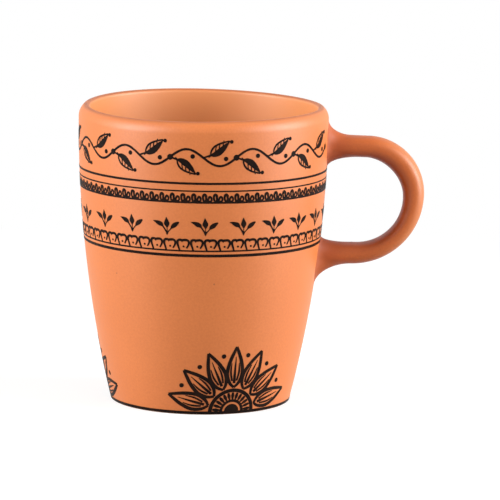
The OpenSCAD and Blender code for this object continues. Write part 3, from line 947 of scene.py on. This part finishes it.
def handle_marks(tree, colour, rough, axes, radius):
    """The handle: painted shade inside the loop, a painted highlight on the outer bend, and painted
    shade, dull, at the roots.
    """
    x, z = axes["X"], axes["Z"]
    half_t = HANDLE_T / 2 * MM
    offset = outside_loop(tree, x, z)
    # Painted shade: darker inside the loop.
    loop_shade = map_range(tree, offset, (0, -half_t), (0, LOOP_SHADE_SHARE))
    colour = mix_colours(tree, loop_shade, colour, HANDLE_PAINTED_SHADE)
    # Painted highlight: paler on the outer side of the far bend.
    outer = map_range(tree, offset, (0, half_t), (0, 1))
    far = map_range(tree, x, ((LOOP_X - HIGHLIGHT_FROM) * MM, (LOOP_X - HIGHLIGHT_TO) * MM), (0, BEND_HIGHLIGHT_SHARE))
    colour = mix_colours(tree, calc(tree, "MULTIPLY", outer, far), colour, HANDLE_PAINTED_HIGHLIGHT)
    # Painted shade: darker and duller near the wall, where the roots meet it, along with smeared slip.
    root_shade = map_range(tree, wall_depth(tree, radius, z), (-ROOT_SHADE_REACH * MM, 0), (0, ROOT_SHADE_SHARE))
    colour = mix_colours(tree, root_shade, colour, ROOT_PAINTED_SHADE)
    return colour, calc(tree, "MULTIPLY_ADD", root_shade, DULLED, rough)


def terracotta(name, dark, light, marks):
    """The satin glaze between two tones, with the marks of the body or of the handle, painted light and
    shade among them.
    """
    material, tree, shader = principled(name)
    skin = fired_node(tree, Speck_share=SPECK_SHARE).outputs
    clouds = calc(tree, "MULTIPLY", skin["Cloud"], MOTTLE_CLOUD)
    mottle = calc(tree, "MULTIPLY_ADD", skin["Grain"], MOTTLE_GRAIN, clouds)
    colour = mix_colours(tree, map_range(tree, mottle, MOTTLE_SPAN, (0, 1)), dark, light)
    rough = map_range(tree, mottle, MOTTLE_SPAN, SATIN)
    place = add(tree, "ShaderNodeTexCoord")
    axes = add(tree, "ShaderNodeSeparateXYZ")
    tree.links.new(place.outputs["Object"], axes.inputs["Vector"])
    radius = distance(tree, axes.outputs["X"], axes.outputs["Y"])
    colour, rough = marks(tree, colour, rough, axes.outputs, radius)
    specks = map_range(tree, skin["Speck"], (0, 1), (0, SPECK_STRENGTH))
    colour = mix_colours(tree, specks, colour, SPECK_COLOUR)
    height = calc(tree, "MULTIPLY_ADD", skin["Speck"], SPECK_PIT, skin["Grain"])
    bump = add(tree, "ShaderNodeBump")
    bump.inputs["Strength"].default_value = BUMP_STRENGTH
    bump.inputs["Distance"].default_value = BUMP_DEPTH * MM
    tree.links.new(height, bump.inputs["Height"])
    tree.links.new(colour, shader.inputs["Base Color"])
    tree.links.new(rough, shader.inputs["Roughness"])
    tree.links.new(bump.outputs["Normal"], shader.inputs["Normal"])
    shader.inputs["Specular IOR Level"].default_value = GLOSS
    print(name, "has", len(tree.nodes), "nodes")
    return material


body_glaze = terracotta("body_glaze", CLAY_DARK, CLAY_LIGHT, body_marks)
# The handle's glaze is a darker, shaded copy of the body's: painted shade.
handle_glaze = terracotta("handle_glaze", HANDLE_SHADED_DARK, HANDLE_SHADED_LIGHT, handle_marks)

# %% [markdown]
# ## Fired ink
# The ink is a black ceramic colour with a touch of brown. Where it went on thin, the clay warms it,
# so the clouds of the shared group mix a browner tone into the black.

# %% Ink
INK_BLACK, INK_BROWN = srgb(18, 10, 7), srgb(36, 22, 15)
INK_CLOUD_SCALE, INK_GRAIN_SCALE, INK_GLOSS = 220, 1500, 0.06
THIN_SPAN, GRAIN_SPAN, INK_SATIN = (0.4, 0.75), (0.3, 0.7), (0.42, 0.56)

fired_ink, tree, shader = principled("fired_ink")
film = fired_node(tree, Cloud_scale=INK_CLOUD_SCALE, Grain_scale=INK_GRAIN_SCALE).outputs
thin = map_range(tree, film["Cloud"], THIN_SPAN, (0, 1))
tree.links.new(mix_colours(tree, thin, INK_BLACK, INK_BROWN), shader.inputs["Base Color"])
tree.links.new(map_range(tree, film["Grain"], GRAIN_SPAN, INK_SATIN), shader.inputs["Roughness"])
shader.inputs["Specular IOR Level"].default_value = INK_GLOSS
print(fired_ink.name, "has", len(tree.nodes), "nodes")

# %% [markdown]
# ## Each piece gets its finish and its place in the assembly
# Nothing on a cup moves, so every piece rides on the one body. Each piece stands for its solid, which
# is hidden, and gets its material.

# %% Finishes and places
dressed = [
    (clay_body, "cup_body", "terracotta", body_glaze),
    (clay_handle, "handle", "terracotta", handle_glaze),
    (upper_slip_fillet, "upper_root_slip", "slip", handle_glaze),
    (lower_slip_fillet, "lower_root_slip", "slip", handle_glaze),
    (ink_upper_line, "upper_line", "ink", fired_ink),
    (ink_upper_fine_line, "upper_fine_line", "ink", fired_ink),
    (ink_loop_border, "loop_border", "ink", fired_ink),
    (ink_sprig_row, "sprig_row", "ink", fired_ink),
    (ink_scallop_border, "scallop_border", "ink", fired_ink),
    (ink_lower_fine_line, "lower_fine_line", "ink", fired_ink),
    (ink_lower_line, "lower_line", "ink", fired_ink),
    (ink_foot_line, "foot_line", "ink", fired_ink),
    (ink_leaf_frieze, "leaf_frieze", "ink", fired_ink),
    (ink_foot_rosettes, "foot_rosettes", "ink", fired_ink),
]
for piece, node, slot, material in dressed:
    piece.data.materials.clear()
    piece.data.materials.append(material)
    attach(piece, "root")
    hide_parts(node)
print("dressed pieces:", len(dressed))

# %% [markdown]
# ## Floor and background
# The cup stands on a white sweep. For the camera the floor has most of its white from a glow, so that
# only the soft contact shadow is left on it, and farther out it is plain white like the background.
# Light Path tells what the camera sees, itself or mirrored, from the light that falls on the cup: that
# light meets a darker paper and a soft fill, which is weakest from straight above.

# %% Floor
FLOOR_R, FLOOR_SIDES = 6, 96
PAPER, SHADE, GLOW = 0.12, 0.45, 0.66
WHITE_FROM, WHITE_TO = 0.12, 0.35


def grey(level):
    """A grey as a colour with alpha."""
    return (level, level, level, 1)


def seen_rays(tree):
    """1 for what the camera sees, straight, mirrored or through glass, and 0 for all other light."""
    rays = add(tree, "ShaderNodeLightPath").outputs
    mirrored = calc(tree, "MAXIMUM", rays["Is Camera Ray"], rays["Is Glossy Ray"])
    return calc(tree, "MAXIMUM", mirrored, rays["Is Transmission Ray"])


def mix_shaders(tree, mask, low, high):
    """Mix two shaders by a mask."""
    node = add(tree, "ShaderNodeMixShader")
    for value, socket in zip((mask, low, high), node.inputs):
        tree.links.new(value, socket)
    return node.outputs["Shader"]


bpy.ops.object.select_all(action="DESELECT")
bpy.ops.mesh.primitive_circle_add(vertices=FLOOR_SIDES, radius=FLOOR_R, fill_type="TRIFAN")
floor = bpy.context.object
floor.name = "studio_floor"

floor_look = bpy.data.materials.new("white_sweep")
floor_look.use_nodes = True
tree = floor_look.node_tree
tree.nodes.clear()
paper = add(tree, "ShaderNodeBsdfDiffuse")
paper.inputs["Color"].default_value = grey(PAPER)
shade = add(tree, "ShaderNodeBsdfDiffuse")
shade.inputs["Color"].default_value = grey(SHADE)
glow = add(tree, "ShaderNodeEmission")
glow.inputs["Strength"].default_value = GLOW
white = add(tree, "ShaderNodeEmission")
lit = add(tree, "ShaderNodeAddShader")
tree.links.new(glow.outputs["Emission"], lit.inputs[0])
tree.links.new(shade.outputs["BSDF"], lit.inputs[1])
place = add(tree, "ShaderNodeTexCoord")
away = add(tree, "ShaderNodeVectorMath", operation="LENGTH")
tree.links.new(place.outputs["Object"], away.inputs[0])
far = map_range(tree, away.outputs["Value"], (WHITE_FROM, WHITE_TO), (0, 1))
sweep = mix_shaders(tree, far, lit.outputs["Shader"], white.outputs["Emission"])
seen = mix_shaders(tree, seen_rays(tree), paper.outputs["BSDF"], sweep)
out = add(tree, "ShaderNodeOutputMaterial")
tree.links.new(seen, out.inputs["Surface"])
floor.data.materials.append(floor_look)
print(floor.name, "is", 2 * FLOOR_R, "m wide")

# %% World
FILL_SIDE, FILL_TOP = 0.60, 0.12

world = bpy.data.worlds.new("white_studio")
world.use_nodes = True
bpy.context.scene.world = world
tree = world.node_tree
tree.nodes.clear()
fill = add(tree, "ShaderNodeBackground")
sky = add(tree, "ShaderNodeTexCoord")
sky_axes = add(tree, "ShaderNodeSeparateXYZ")
tree.links.new(sky.outputs["Generated"], sky_axes.inputs["Vector"])
strength = map_range(tree, sky_axes.outputs["Z"], (0, 1), (FILL_SIDE, FILL_TOP))
tree.links.new(strength, fill.inputs["Strength"])
backdrop = add(tree, "ShaderNodeBackground")
backdrop.inputs["Strength"].default_value = 1
for node in (fill, backdrop):
    node.inputs["Color"].default_value = grey(1)
both = mix_shaders(tree, seen_rays(tree), fill.outputs["Background"], backdrop.outputs["Background"])
out = add(tree, "ShaderNodeOutputWorld")
tree.links.new(both, out.inputs["Surface"])
print(world.name, "has", len(tree.nodes), "nodes")

# %% [markdown]
# ## Light
# Two big soft lights stand left and right of the cup, a little above it. They make the wide sheen on
# both sides of the wall and leave the middle darker. Area lights do that with one object each, where a
# lamp with a screen before it would take two.

# %% Soft lights
LIGHT_AIM = Vector((0, 0, 0.05))
LIGHT_SIZE, LIGHT_AWAY = (1.0, 1.4), 1.5


def softbox(name, azimuth_deg, height, watts):
    """A rectangular area light that looks at the middle of the cup. Azimuth counts from the front."""
    turn = math.radians(azimuth_deg)
    spot = Vector((math.sin(turn) * LIGHT_AWAY, -math.cos(turn) * LIGHT_AWAY, height))
    look = (LIGHT_AIM - spot).to_track_quat("-Z", "Y").to_euler()
    bpy.ops.object.light_add(type="AREA", location=spot, rotation=look)
    lamp = bpy.context.object
    lamp.name = name
    lamp.data.shape = "RECTANGLE"
    lamp.data.size, lamp.data.size_y = LIGHT_SIZE
    lamp.data.energy = watts
    print(name, "gives", watts, "W")


softbox("left_softbox", -69, height=0.5, watts=42)
softbox("right_softbox", 79, height=0.38, watts=52)
bpy.context.scene.view_settings.view_transform = "Standard"
